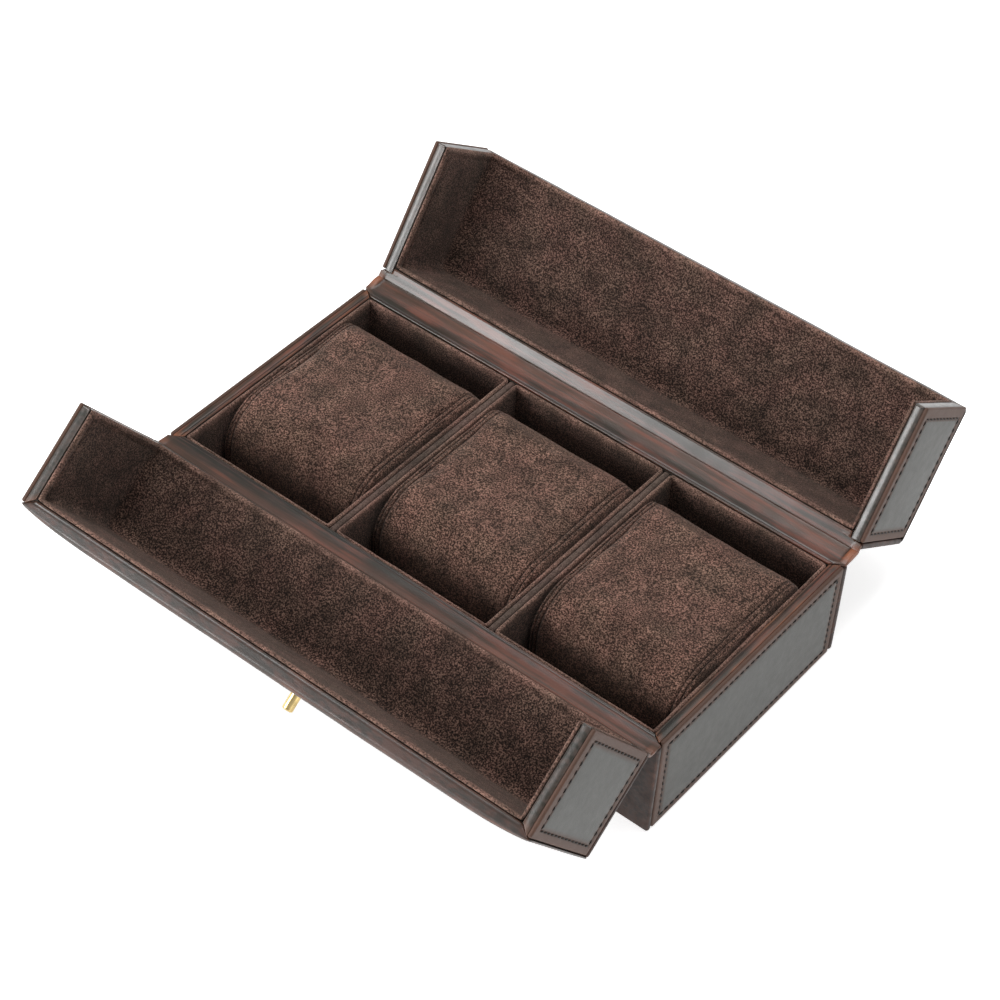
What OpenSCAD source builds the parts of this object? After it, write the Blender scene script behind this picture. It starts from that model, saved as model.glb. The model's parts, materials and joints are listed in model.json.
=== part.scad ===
// Watch box: a leather-covered tray with three suede-lined bays, three lift-out cushions,
// and two half lids that swing open away from each other on leather hinges.
// X runs along the box, Y towards the rear and Z up. The origin is the centre of the underside.
// The lids are drawn open, resting against the limit of their leather hinges.

/* [Tray] */
// Length of the box
box_l = 280; // [264:1:300]
// Depth of the box, from the outside of the front cover to the outside of the rear cover
box_w = 142; // [134:1:150]
// Height of the tray up to its rims
tray_h = 56; // [50:1:64]
// Thickness of the base board
base_t = 3; // [2:0.5:4]
// Thickness of the leather on the underside
underside_t = 1.5; // [1:0.25:2]
// Thickness of the suede-covered floor card
floor_t = 1.5; // [1:0.25:2]

/* [Walls] */
// Thickness of a leather-covered cover board
cover_t = 3; // [2.5:0.25:3.5]
// Thickness of a stitched leather end panel
panel_t = 2; // [1.5:0.25:2.5]
// Thickness of the front and rear wall boards
wall_t = 3.3; // [3:0.1:4]
// Thickness of the end wall boards
end_t = 4.7; // [4:0.1:5.5]
// Thickness of the leather on the rims and of the hinge leathers
rim_t = 1.4; // [1:0.1:2]
// Thickness of a divider board
divider_t = 3; // [2.5:0.25:3.5]
// Thickness of the suede-covered bay liners
liner_t = 1.8; // [1.4:0.1:2.2]
// Width of the groove between a divider and the liner beside it
groove = 0.4; // [0.2:0.1:0.6]

/* [Lids] */
// Height of a lid from its mouth to the crown of its padded top
lid_h = 54.6; // [50:0.2:60]
// Thickness of the padded top cover
top_cover_t = 4.6; // [4:0.2:5]
// Thickness of the board under the top cover
top_board_t = 4.2; // [3.8:0.2:4.6]
// Thickness of the suede lining cards in the lids
lining_t = 1.5; // [1.2:0.1:1.8]
// Gap between the two lids along the centre seam when closed
seam_gap = 0.6; // [0.6:0.1:1]
// Gap between a closed lid and the tray rim
lid_gap = 0.4; // [0.4:0.1:0.8]

/* [Hinges] */
// How far the front lid swings open
front_angle = 128.9; // [110:0.1:130]
// How far the rear lid swings open
rear_angle = 124.3; // [110:0.1:130]
// Distance of the front hinge axis outside the front cover
front_hinge_out = 2.9; // [2.6:0.1:4.5]
// Distance of the rear hinge axis outside the rear cover
rear_hinge_out = 4.3; // [2.6:0.1:4.5]
// Depth of the front hinge axis below the rims
front_hinge_drop = 0.45; // [0:0.05:1.2]
// Depth of the rear hinge axis below the rims
rear_hinge_drop = 1; // [0:0.05:1.2]

/* [Cushions] */
// Length of a cushion along the box
cushion_l = 78; // [70:1:80]
// Distance from the centre line to a cushion's front
cushion_front = 44; // [40:1:50]
// Distance from the centre line to a cushion's rear
cushion_rear = 50; // [42:1:52]
// Height of a cushion's crown above the ground
cushion_top = 58; // [50:1:60]
// Radius of the wide roll along a cushion's front
cushion_front_r = 22; // [16:1:24]
// Radius of the tight roll along a cushion's rear
cushion_rear_r = 12; // [8:1:16]
// Thickness of a cushion's suede cover and wadding
cushion_cover_t = 2; // [1:0.5:3]

/* [Stud] */
// Diameter of the brass stud
stud_d = 5.2; // [5:0.1:6]
// Height of the stud above the lid
stud_h = 11; // [8:0.5:14]
// Distance of the stud from the outside of the front lid's wall
stud_in = 27.3; // [15:0.1:50]

/* [Hidden] */
$fn = 64;

leather_color = "#43281e";
panel_color = "#4b4640";
suede_color = "#5a4036";
board_color = "#a58661";
foam_color = "#d9cfae";
brass_color = "#c8a552";
magnet_color = "#b8babd";

// Outer half sizes, and the faces of each layer of the walls going inwards
half_l = box_l / 2;
half_w = box_w / 2;
wall_out = half_w - cover_t;
wall_in = wall_out - wall_t;
bay_y = wall_in - liner_t;
end_out = half_l - panel_t;
end_in = end_out - end_t;
bay_x = end_in - liner_t;

// Slit between a cover board and the end panel beside it
slit = 0.6;
// Gap between a hinge leather and the end rims beside it
hinge_slit = 0.3;
// Thickness of the glue line between a hinge leather and the lid above it
glue_t = 0.05;
// Height of the covers and end panels above the ground: the underside leather stands proud
foot = 0.4;
// Inset of the underside leather from the covers and end panels
underside_inset = 0.2;

board_z = underside_t + base_t;
floor_z = board_z + floor_t;
rim_z = tray_h - rim_t;
liner_top = tray_h - 0.6;
divider_top = tray_h - 1;

// Three equal bays between the end walls
divider_w = divider_t + 2 * groove + 2 * liner_t;
bay_w = (2 * bay_x - 2 * divider_w) / 3;
bay_pitch = bay_w + divider_w;

// Levels in a closed lid, going up
lid_z = tray_h + lid_gap;
lid_board_z = lid_z + rim_t;
lid_top_z = lid_z + lid_h;
top_cover_z = lid_top_z - top_cover_t;
top_board_z = top_cover_z - top_board_t;
top_lining_z = top_board_z - lining_t;
// Faces in a closed lid, going from the wall to the seam
lid_wall_in = wall_in - lining_t;
lid_end_in = end_in - lining_t;
seam_y = seam_gap / 2;
seam_board_y = seam_y + rim_t;
// How far the linings stay back from the lid's mouth and seam
lining_back = 0.8;

// How far a cutting shape runs past what it cuts
over = 1;

plate_r = 1.2;
cover_r = 3;
cushion_gap = 0.2;

magnet_l = 12;
magnet_w = 5;
magnet_t = 2;
magnet_x = 60;
pocket_play = 0.1;

screw_d = 2.9;
screw_hole_d = 3.2;
screw_head_d = 7;
screw_head_t = 1.2;
screw_grip = 8;
screw_play = 0.2;
stud_bore_d = 3;
stud_bore_spare = 0.5;
stud_chamfer = 0.5;

front_pivot = [-half_w - front_hinge_out, tray_h - front_hinge_drop];
rear_pivot = [half_w + rear_hinge_out, tray_h - rear_hinge_drop];

// A point of the YZ plane, turned about a pivot in that plane
function turned(p, pivot, angle) = [
    pivot[0] + (p[0] - pivot[0]) * cos(angle) - (p[1] - pivot[1]) * sin(angle),
    pivot[1] + (p[0] - pivot[0]) * sin(angle) + (p[1] - pivot[1]) * cos(angle)];

// ---- Shared shapes ----

// A box from its lowest and highest corners
module block(low, high) {
    translate(low) cube(high - low);
}

// A YZ outline drawn out along X, centred
module along_x(length) {
    rotate([90, 0, 90]) linear_extrude(height = length, center = true) children();
}

// A rectangle with rounded corners
module soft_rect(low, high, r) {
    translate([low[0] + r, low[1]]) square([high[0] - low[0] - 2 * r, high[1] - low[1]]);
    translate([low[0], low[1] + r]) square([high[0] - low[0], high[1] - low[1] - 2 * r]);
    for (x = [low[0] + r, high[0] - r])
        for (y = [low[1] + r, high[1] - r])
            translate([x, y]) circle(r = r);
}

// A rectangle whose upper left and upper right corners are rounded, even where the radii exceed its height
module domed_rect(low, high, left_r, right_r) {
    size = high - low;
    intersection() {
        translate(low) square(size);
        union() {
            translate([low[0] + left_r, low[1] - over])
                square([size[0] - left_r - right_r, size[1] + over]);
            translate([low[0], low[1] - over]) square([left_r + over, size[1] - left_r + over]);
            translate([high[0] - right_r - over, low[1] - over])
                square([right_r + over, size[1] - right_r + over]);
            translate([low[0] + left_r, high[1] - left_r]) circle(r = left_r);
            translate([high[0] - right_r, high[1] - right_r]) circle(r = right_r);
        }
    }
}

// A plate that faces along Y, with rounded corners
module front_plate(low, high, thickness, y, r) {
    translate([0, y, 0]) rotate([90, 0, 0]) linear_extrude(height = thickness, center = true)
        soft_rect(low, high, r);
}

// A plate that faces along X, with rounded corners
module end_plate(low, high, thickness, x, r) {
    translate([x, 0, 0]) along_x(thickness) soft_rect(low, high, r);
}

// ---- Tray ----

module base_board() {
    color(board_color) block([-end_out, -wall_out, underside_t], [end_out, wall_out, board_z]);
}

module underside_leather() {
    edge = [end_out - underside_inset, wall_out - underside_inset];
    color(leather_color) block([-edge[0], -edge[1], 0], [edge[0], edge[1], underside_t]);
}

module floor_lining() {
    color(suede_color) block([-end_in, -wall_in, board_z], [end_in, wall_in, floor_z]);
}

module front_wall_board() {
    color(board_color) block([-end_out, -wall_out, board_z], [end_out, -wall_in, rim_z]);
}

module rear_wall_board() {
    mirror([0, 1, 0]) front_wall_board();
}

module right_wall_board() {
    color(board_color) block([end_in, -wall_in, board_z], [end_out, wall_in, rim_z]);
}

module left_wall_board() {
    mirror([1, 0, 0]) right_wall_board();
}

module front_cover() {
    color(leather_color)
        front_plate([-half_l, foot], [half_l, rim_z], cover_t, -half_w + cover_t / 2, plate_r);
}

module rear_cover() {
    mirror([0, 1, 0]) front_cover();
}

module right_end_panel() {
    edge = wall_out - slit;
    color(panel_color)
        end_plate([-edge, foot], [edge, tray_h], panel_t, half_l - panel_t / 2, plate_r);
}

module left_end_panel() {
    mirror([1, 0, 0]) right_end_panel();
}

// The end rims run the whole depth, and the hinge leathers cover the front and rear rims between them
module right_rim() {
    color(leather_color) block([end_in, -wall_out, rim_z], [end_out, wall_out, tray_h]);
}

module left_rim() {
    mirror([1, 0, 0]) right_rim();
}

module right_divider() {
    color(suede_color) translate([bay_pitch / 2, 0, 0])
        block([-divider_t / 2, -wall_in, floor_z], [divider_t / 2, wall_in, divider_top]);
}

module left_divider() {
    mirror([1, 0, 0]) right_divider();
}

// A bay liner is an open-ended sleeve of suede-covered card
module bay_liner(x) {
    color(suede_color) translate([x, 0, 0]) difference() {
        block([-bay_w / 2 - liner_t, -wall_in, floor_z],
            [bay_w / 2 + liner_t, wall_in, liner_top]);
        block([-bay_w / 2, -bay_y, 0], [bay_w / 2, bay_y, tray_h + over]);
    }
}

module left_bay_liner() {
    bay_liner(-bay_pitch);
}

module middle_bay_liner() {
    bay_liner(0);
}

module right_bay_liner() {
    bay_liner(bay_pitch);
}

// ---- Hinges ----

// The outline of a flange on a lid's edge, from the outside of its wall inwards to the distance y
function lid_flange(y, pivot, angle) = [for (p = [[-half_w, lid_z], [y, lid_z],
    [y, lid_board_z - glue_t], [-half_w, lid_board_z - glue_t]]) turned(p, pivot, angle)];

// One strip covers the tray's wall up to the bays, bridges the gap and covers the lid's wall.
// Beyond the end rims it is cut back to the cover boards
module hinge_leather(pivot, angle) {
    flange = lid_flange(-wall_out, pivot, angle);
    color(leather_color) {
        along_x(box_l - 2 * underside_inset) {
            translate([-half_w, rim_z]) square([cover_t, rim_t]);
            polygon(flange);
            polygon([[-half_w, rim_z], [-half_w, tray_h], flange[0], flange[3]]);
        }
        along_x(2 * (end_in - hinge_slit)) {
            translate([-half_w, rim_z]) square([half_w - wall_in, rim_t]);
            polygon(lid_flange(-wall_in, pivot, angle));
        }
    }
}

module front_hinge_leather() {
    hinge_leather(front_pivot, front_angle);
}

module rear_hinge_leather() {
    mirror([0, 1, 0]) hinge_leather([-rear_pivot[0], rear_pivot[1]], rear_angle);
}

// ---- Cushions ----

// A suede cover, open underneath, pulled over a foam block
module cushion_cover(x) {
    t = cushion_cover_t;
    color(suede_color) translate([x, 0, 0]) difference() {
        along_x(cushion_l)
            domed_rect([-cushion_front, floor_z + cushion_gap], [cushion_rear, cushion_top],
                cushion_front_r, cushion_rear_r);
        along_x(cushion_l - 2 * t)
            domed_rect([-cushion_front + t, 0], [cushion_rear - t, cushion_top - t],
                cushion_front_r - t, cushion_rear_r - t);
    }
}

module cushion_foam(x) {
    t = cushion_cover_t;
    color(foam_color) translate([x, 0, 0]) along_x(cushion_l - 2 * t)
        domed_rect([-cushion_front + t, floor_z + cushion_gap],
            [cushion_rear - t, cushion_top - t], cushion_front_r - t, cushion_rear_r - t);
}

module left_cushion_cover() {
    cushion_cover(-bay_pitch);
}

module left_cushion_foam() {
    cushion_foam(-bay_pitch);
}

module middle_cushion_cover() {
    cushion_cover(0);
}

module middle_cushion_foam() {
    cushion_foam(0);
}

module right_cushion_cover() {
    cushion_cover(bay_pitch);
}

module right_cushion_foam() {
    cushion_foam(bay_pitch);
}

// ---- Lids: every part is drawn in the closed front lid, then swung open ----

module in_front_lid() {
    translate([0, front_pivot[0], front_pivot[1]]) rotate([front_angle, 0, 0])
        translate([0, -front_pivot[0], -front_pivot[1]]) children();
}

module in_rear_lid() {
    translate([0, rear_pivot[0], rear_pivot[1]]) rotate([-rear_angle, 0, 0])
        translate([0, -rear_pivot[0], -rear_pivot[1]]) mirror([0, 1, 0]) children();
}

module to_left() {
    mirror([1, 0, 0]) children();
}

module lid_wall_board() {
    color(board_color)
        block([-end_out, -wall_out, lid_board_z], [end_out, -wall_in, top_cover_z]);
}

module lid_magnet_places() {
    for (side = [-1, 1])
        translate([side * magnet_x, -seam_board_y, top_cover_z]) children();
}

module lid_top_board() {
    color(board_color) difference() {
        block([-end_out, -wall_in, top_board_z], [end_out, -seam_board_y, top_cover_z]);
        lid_magnet_places()
            block([-magnet_l / 2 - pocket_play, -magnet_w - pocket_play, -magnet_t],
                [magnet_l / 2 + pocket_play, over, over]);
    }
}

module lid_end_board() {
    color(board_color)
        block([end_in, -wall_in, lid_board_z], [end_out, -seam_board_y, top_board_z]);
}

module lid_wall_cover() {
    color(leather_color)
        block([-half_l, -half_w, lid_board_z], [half_l, -wall_out, top_cover_z]);
}

// The padded top is rounded over the wall, over the seam and at both ends
module lid_top_cover() {
    color(leather_color) intersection() {
        along_x(box_l)
            domed_rect([-half_w, top_cover_z], [-seam_y, lid_top_z], cover_r, cover_r);
        translate([0, -half_w / 2, 0]) rotate([90, 0, 0])
            linear_extrude(height = box_w, center = true)
                domed_rect([-half_l, top_cover_z], [half_l, lid_top_z], cover_r, cover_r);
    }
}

module lid_end_panel() {
    color(panel_color)
        end_plate([-wall_out + slit, lid_z], [-seam_y, top_cover_z - slit], panel_t,
            half_l - panel_t / 2, plate_r);
}

// Strips of leather bind the board edges at both ends of the mouth and along the seam
module lid_rim() {
    color(leather_color) {
        block([-end_in, -seam_board_y, top_board_z], [end_in, -seam_y, top_cover_z]);
        for (side = [0, 1])
            mirror([side, 0, 0]) {
                block([end_in, -wall_out, lid_z], [end_out, -seam_y, lid_board_z]);
                block([end_in, -seam_board_y, lid_z], [end_out, -seam_y, top_cover_z]);
            }
    }
}

module lid_wall_lining() {
    color(suede_color)
        block([-lid_end_in, -wall_in, lid_z + lining_back], [lid_end_in, -lid_wall_in, top_board_z]);
}

module lid_top_lining() {
    color(suede_color)
        block([-lid_end_in, -lid_wall_in, top_lining_z],
            [lid_end_in, -seam_y - lining_back, top_board_z]);
}

module lid_end_lining() {
    color(suede_color)
        block([lid_end_in, -wall_in, lid_z + lining_back],
            [end_in, -seam_y - lining_back, top_board_z]);
}

module lid_magnets() {
    color(magnet_color) lid_magnet_places()
        block([-magnet_l / 2, -magnet_w, -magnet_t], [magnet_l / 2, 0, 0]);
}

// Everything that the stud and its screw pass through in the front lid
module at_stud() {
    translate([0, -half_w + stud_in, 0]) children();
}

module stud_hole() {
    at_stud() translate([0, 0, top_board_z - over]) {
        cylinder(h = lid_top_z - top_board_z + 2 * over, d = screw_hole_d);
        cylinder(h = screw_head_t + over + screw_play, d = screw_head_d + 2 * screw_play);
    }
}

module front_lid_wall_board() {
    in_front_lid() lid_wall_board();
}

module front_lid_top_board() {
    in_front_lid() difference() {
        lid_top_board();
        stud_hole();
    }
}

module front_lid_right_end_board() {
    in_front_lid() lid_end_board();
}

module front_lid_left_end_board() {
    in_front_lid() to_left() lid_end_board();
}

module front_lid_wall_cover() {
    in_front_lid() lid_wall_cover();
}

module front_lid_top_cover() {
    in_front_lid() difference() {
        lid_top_cover();
        stud_hole();
    }
}

module front_lid_right_end_panel() {
    in_front_lid() lid_end_panel();
}

module front_lid_left_end_panel() {
    in_front_lid() to_left() lid_end_panel();
}

module front_lid_rim() {
    in_front_lid() lid_rim();
}

module front_lid_wall_lining() {
    in_front_lid() lid_wall_lining();
}

module front_lid_top_lining() {
    in_front_lid() lid_top_lining();
}

module front_lid_right_lining() {
    in_front_lid() lid_end_lining();
}

module front_lid_left_lining() {
    in_front_lid() to_left() lid_end_lining();
}

module front_lid_magnets() {
    in_front_lid() lid_magnets();
}

// A plain cylinder with a broken edge at its tip, tapped from below
module pull_stud() {
    r = stud_d / 2;
    color(brass_color) in_front_lid() at_stud() translate([0, 0, lid_top_z]) difference() {
        rotate_extrude()
            polygon([[0, 0], [r, 0], [r, stud_h - stud_chamfer], [r - stud_chamfer, stud_h],
                [0, stud_h]]);
        translate([0, 0, -over]) cylinder(h = screw_grip + stud_bore_spare + over, d = stud_bore_d);
    }
}

module stud_screw() {
    color(brass_color) in_front_lid() at_stud() translate([0, 0, top_board_z]) {
        cylinder(h = screw_head_t, d = screw_head_d);
        cylinder(h = lid_top_z - top_board_z + screw_grip, d = screw_d);
    }
}

module rear_lid_wall_board() {
    in_rear_lid() lid_wall_board();
}

module rear_lid_top_board() {
    in_rear_lid() lid_top_board();
}

module rear_lid_right_end_board() {
    in_rear_lid() lid_end_board();
}

module rear_lid_left_end_board() {
    in_rear_lid() to_left() lid_end_board();
}

module rear_lid_wall_cover() {
    in_rear_lid() lid_wall_cover();
}

module rear_lid_top_cover() {
    in_rear_lid() lid_top_cover();
}

module rear_lid_right_end_panel() {
    in_rear_lid() lid_end_panel();
}

module rear_lid_left_end_panel() {
    in_rear_lid() to_left() lid_end_panel();
}

module rear_lid_rim() {
    in_rear_lid() lid_rim();
}

module rear_lid_wall_lining() {
    in_rear_lid() lid_wall_lining();
}

module rear_lid_top_lining() {
    in_rear_lid() lid_top_lining();
}

module rear_lid_right_lining() {
    in_rear_lid() lid_end_lining();
}

module rear_lid_left_lining() {
    in_rear_lid() to_left() lid_end_lining();
}

module rear_lid_magnets() {
    in_rear_lid() lid_magnets();
}

base_board();
underside_leather();
floor_lining();
front_wall_board();
rear_wall_board();
left_wall_board();
right_wall_board();
front_cover();
rear_cover();
left_end_panel();
right_end_panel();
left_rim();
right_rim();
left_divider();
right_divider();
left_bay_liner();
middle_bay_liner();
right_bay_liner();
front_hinge_leather();
rear_hinge_leather();
left_cushion_cover();
left_cushion_foam();
middle_cushion_cover();
middle_cushion_foam();
right_cushion_cover();
right_cushion_foam();
front_lid_wall_board();
front_lid_top_board();
front_lid_left_end_board();
front_lid_right_end_board();
front_lid_wall_cover();
front_lid_top_cover();
front_lid_left_end_panel();
front_lid_right_end_panel();
front_lid_rim();
front_lid_wall_lining();
front_lid_top_lining();
front_lid_left_lining();
front_lid_right_lining();
front_lid_magnets();
pull_stud();
stud_screw();
rear_lid_wall_board();
rear_lid_top_board();
rear_lid_left_end_board();
rear_lid_right_end_board();
rear_lid_wall_cover();
rear_lid_top_cover();
rear_lid_left_end_panel();
rear_lid_right_end_panel();
rear_lid_rim();
rear_lid_wall_lining();
rear_lid_top_lining();
rear_lid_left_lining();
rear_lid_right_lining();
rear_lid_magnets();
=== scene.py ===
import json
import math

import bpy
import numpy as np
from mathutils import Matrix, Vector, noise
from mathutils.bvhtree import BVHTree


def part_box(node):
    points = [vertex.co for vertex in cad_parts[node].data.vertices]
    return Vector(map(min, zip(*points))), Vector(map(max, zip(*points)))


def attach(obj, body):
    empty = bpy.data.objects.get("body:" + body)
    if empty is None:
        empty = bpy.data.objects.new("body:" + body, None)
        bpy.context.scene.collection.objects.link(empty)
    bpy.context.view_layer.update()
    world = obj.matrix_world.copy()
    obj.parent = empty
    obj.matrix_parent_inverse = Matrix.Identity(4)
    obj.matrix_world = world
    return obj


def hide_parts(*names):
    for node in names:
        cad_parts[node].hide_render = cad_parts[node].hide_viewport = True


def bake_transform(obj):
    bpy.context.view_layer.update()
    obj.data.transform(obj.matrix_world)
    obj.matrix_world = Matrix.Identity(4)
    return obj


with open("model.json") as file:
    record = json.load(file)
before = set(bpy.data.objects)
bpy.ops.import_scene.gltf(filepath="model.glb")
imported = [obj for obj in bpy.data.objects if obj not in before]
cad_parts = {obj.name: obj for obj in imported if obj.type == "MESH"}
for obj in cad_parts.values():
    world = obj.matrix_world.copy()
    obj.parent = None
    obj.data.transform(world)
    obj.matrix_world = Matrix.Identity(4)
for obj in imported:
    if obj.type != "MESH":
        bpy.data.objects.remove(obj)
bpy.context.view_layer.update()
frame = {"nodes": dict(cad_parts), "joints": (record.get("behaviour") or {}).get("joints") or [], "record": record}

MM = 0.001
NODES = frame["nodes"]
BAYS = ("left", "middle", "right")
LIDS = ("front", "rear")
SIDES = {"left": -1, "right": 1}

# ---- Sizes that the frame doesn't give, in metres ----

LEATHER_EDGE = 1.2 * MM     # rounding of a turned leather edge
PANEL_EDGE = 0.9 * MM       # rounding of a stitched end panel
STRIP_EDGE = 0.55 * MM      # rounding of a strip of leather
WEAR_REACH = 1.0 * MM       # how far wear spreads inwards from an edge
UNWORN = 1.0                # a distance from an edge, in metres, that no wear reaches
SLIT = 0.35 * MM            # dark slit between a strip and the suede beside it
STITCH_PITCH = 4.0 * MM
STITCH_LONG = 2.4 * MM
STITCH_THICK = 0.75 * MM
STITCH_INSET = 4.2 * MM     # from a panel's edge to its row of stitches
LID_SEAM_SHIFT = 1.2 * MM   # how much further in a lid panel's rows across its height are
SEAM_DEPTH, SEAM_WIDTH = 0.35 * MM, 0.55 * MM    # the dip that a row of stitches makes
PANEL_SWELL = 0.4 * MM      # how far a panel swells inside its rows of stitches
BEAD_IN = 0.55 * MM         # from a strip's inner edge to the bead along it
BEAD_HEIGHT, BEAD_WIDTH = 0.3 * MM, 0.42 * MM
GROOVE_IN = 1.3 * MM        # from a strip's inner edge to the groove beside the bead
GROOVE_DEPTH, GROOVE_WIDTH = 0.35 * MM, 0.28 * MM
STRIP_DOME = 0.3 * MM       # how far the middle of a strip stands up
FACE_SINK = 0.5 * MM        # keeps the rise of one face clear of the face that closes on it
TOP_EDGE_DROP = 3.7 * MM    # how much lower a padded top is at its edges than at its crown
TOP_CROWN_REACH = 14 * MM   # how quickly the padding rises from the edges
TOP_SEAM_DROP = 0.25        # share of that drop along the middle of the seam
TOP_EDGE = 2.6 * MM         # rounding of a padded top's edges
LINING_FILLET = 4.5 * MM    # soft inner corners of a lid's lining, away from its open edges
HINGE_THICK = 1.3 * MM
HINGE_FOLD_DROP = 1.8 * MM  # how far below the lid's edge a hinge's leather folds
HINGE_END = 3.4 * MM        # length of the rolled raw end of a hinge's leather
HINGE_END_SWELL = 1.3 * MM  # how much thicker the roll makes it
HINGE_END_SHARE = {"front": 0.25, "rear": 1.0}  # how thick and raw those ends are
LINER_THICK = 1.8 * MM
BAY_FILLET = 2.2 * MM       # rounding of a bay's upright corners
CUSHION_FRONT_ROLL = 22 * MM
CUSHION_REAR_ROLL = 12 * MM
CUSHION_SIDE_ROLL = 2.2 * MM
CUSHION_FOOT_ROLL = 3 * MM
CUSHION_BULGE = 1.3 * MM    # how far stuffing pushes a cushion's sides out past the CAD cover
CUSHION_SEAMS = (2.0 * MM, 4.6 * MM)    # from a cushion's side to its two rows of sewing
CUSHION_SEAM_DEPTH = 0.8 * MM
STUFFING_MOST = 0.8 * MM    # how far the simulation may move a cushion's surface
STUFFING_FRAMES = 20


# ---- The lids: drawn closed, as the front lid, then swung to where the frame has them ----

def lid_place(lid):
    """The matrix from the closed front lid's place to where this lid is at rest."""
    joint = next(j for j in frame["joints"] if j["child"] == lid + "_lid")
    pivot = Matrix.Translation(joint["pos_m"])
    turn = Matrix.Rotation(-math.radians(joint["range_deg"][1]), 4, Vector(joint["axis"]))
    mirror = Matrix.Scale(-1, 4, (0, 1, 0)) if lid == "rear" else Matrix.Identity(4)
    return pivot @ turn @ pivot.inverted() @ mirror


LID_PLACE = {lid: lid_place(lid) for lid in LIDS}


def moved(points, matrix):
    """Points under a matrix, as an array."""
    m = np.array(matrix)
    return np.asarray(points) @ m[:3, :3].T + m[:3, 3]


def closed_box(name):
    """Lowest and highest corners of a front lid's node, as it lies when the lid is closed."""
    points = moved([v.co for v in NODES[name].data.vertices], LID_PLACE["front"].inverted())
    return points.min(0), points.max(0)


def lid_box(part):
    return closed_box("front_lid_" + part)


def node_box(name):
    """Lowest and highest corners of a node at rest, as arrays."""
    low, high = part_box(name)
    return np.array(low), np.array(high)


# ---- Shapes ----

class Shape:
    """Points and faces being shaped, with each point's outward direction and its distance from an edge.

    Its groove share is how deep in a groove a point is, which the materials darken as painted shade,
    and border how far it is in a differently coloured border, both from 0 to 1.
    """

    def __init__(self, points, faces, out, edge, groove=None, border=None):
        self.points, self.faces, self.out, self.edge = points, faces, out, edge
        self.groove = np.zeros(len(points)) if groove is None else groove
        self.border = np.zeros(len(points)) if border is None else border

    def push(self, amount):
        self.points = self.points + self.out * np.asarray(amount).reshape(-1, 1)
        return self

    def placed(self, matrix):
        """This shape under a matrix. A mirrored one gets its faces turned round."""
        turned = Matrix(matrix).determinant() < 0
        faces = [f[::-1] for f in self.faces] if turned else self.faces
        out = self.out @ np.array(matrix)[:3, :3].T
        return Shape(moved(self.points, matrix), faces, out, self.edge, self.groove, self.border)


def joined(shapes):
    """Several shapes as one."""
    faces, start = [], 0
    for s in shapes:
        faces += [[i + start for i in f] for f in s.faces]
        start += len(s.points)
    parts = {k: np.concatenate([getattr(s, k) for s in shapes])
             for k in ("points", "out", "edge", "groove", "border")}
    return Shape(faces=faces, **parts)


def unit(vectors):
    """Vectors, one a row, brought to length 1."""
    return vectors / np.linalg.norm(vectors, axis=1, keepdims=True)


def resampled(step, points, *others, closed=False):
    """Points about a step apart on the line through points, and what others, by point, come to there."""
    travelled = np.concatenate([[0], np.cumsum(np.linalg.norm(np.diff(points, axis=0), axis=1))])
    even = np.linspace(0, travelled[-1], round(travelled[-1] / step), endpoint=not closed)
    return [np.stack([np.interp(even, travelled, v) for v in values.T], axis=1)
            for values in (points, *others)]


def spaced(low, high, r_low, r_high, step, marks=()):
    """Coordinates from low to high: close together where the ends are rounded, else about step apart."""
    arc = [math.tan(math.radians(a)) for a in (45, 34, 23, 11, 0)]
    inner = np.linspace(low + r_low, high - r_high, max(2, round((high - low) / step) + 1))
    ends = [low + r_low * (1 - t) for t in arc] + [high - r_high * (1 - t) for t in arc]
    inside = [m for m in marks if low < m < high]
    return np.unique(np.round(np.concatenate([inner, ends, inside]), 6))


def grid_box(axes, skipped=()):
    """Points and outward quads of a box's faces on a grid. skipped holds (axis, end) of faces left open."""
    index, points, faces = {}, [], []

    def vertex(key):
        if key not in index:
            index[key] = len(points)
            points.append([axes[a][key[a]] for a in range(3)])
        return index[key]

    for axis in range(3):
        u, v = (axis + 1) % 3, (axis + 2) % 3
        for end in (0, 1):
            if (axis, end) in skipped:
                continue
            for a in range(len(axes[u]) - 1):
                for b in range(len(axes[v]) - 1):
                    face = []
                    for c, d in ((a, b), (a + 1, b), (a + 1, b + 1), (a, b + 1)):
                        key = [0, 0, 0]
                        key[axis], key[u], key[v] = end * (len(axes[axis]) - 1), c, d
                        face.append(vertex(tuple(key)))
                    faces.append(face if end else face[::-1])
    return np.array(points), faces


def slab(low, high, r, step, marks=((), (), ())):
    """A box with rounded edges, on a grid fine enough to bend.

    r is one radius, or (at the low end, at the high end) for each axis. step is one size, or one for
    each axis.
    """
    low, high = np.array(low, float), np.array(high, float)
    steps = step if hasattr(step, "__len__") else (step,) * 3
    radii = np.array(r if hasattr(r, "__len__") else ((r, r),) * 3, float)
    radii = np.minimum(radii, 0.499 * (high - low)[:, None])
    axes = [spaced(low[a], high[a], *radii[a], steps[a], marks[a]) for a in range(3)]
    flat, faces = grid_box(axes)
    core = np.clip(flat, low + radii[:, 0], high - radii[:, 1])
    side = np.where(flat > core, radii[:, 1], radii[:, 0])
    away = unit((flat - core) / side)
    edge = np.sort(np.minimum(flat - low, high - flat), axis=1)[:, 1]
    return Shape(core + away * side, faces, unit(away / side), edge)


def tube_faces(rings, sides):
    """Faces of a closed tube: rings of points, each joined to the next, and both ends capped."""
    last = (rings - 1) * sides
    faces = [[i + k, i + (k + 1) % sides, i + sides + (k + 1) % sides, i + sides + k]
             for i in range(0, last, sides) for k in range(sides)]
    return faces + [list(range(sides))[::-1], list(range(last, last + sides))]


def waves(points, size, seed):
    """Smooth noise from about -1 to 1 at each point. size is the length of a wave."""
    shift = Vector((seed * 3.7, seed * 1.3, seed * 7.1))
    return np.array([noise.noise(Vector(p) / size + shift) for p in points])


def channel(distance, width):
    """1 in the middle of a groove, falling to 0 about a width away from it."""
    return np.exp(-(np.asarray(distance) / width) ** 2)


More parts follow.
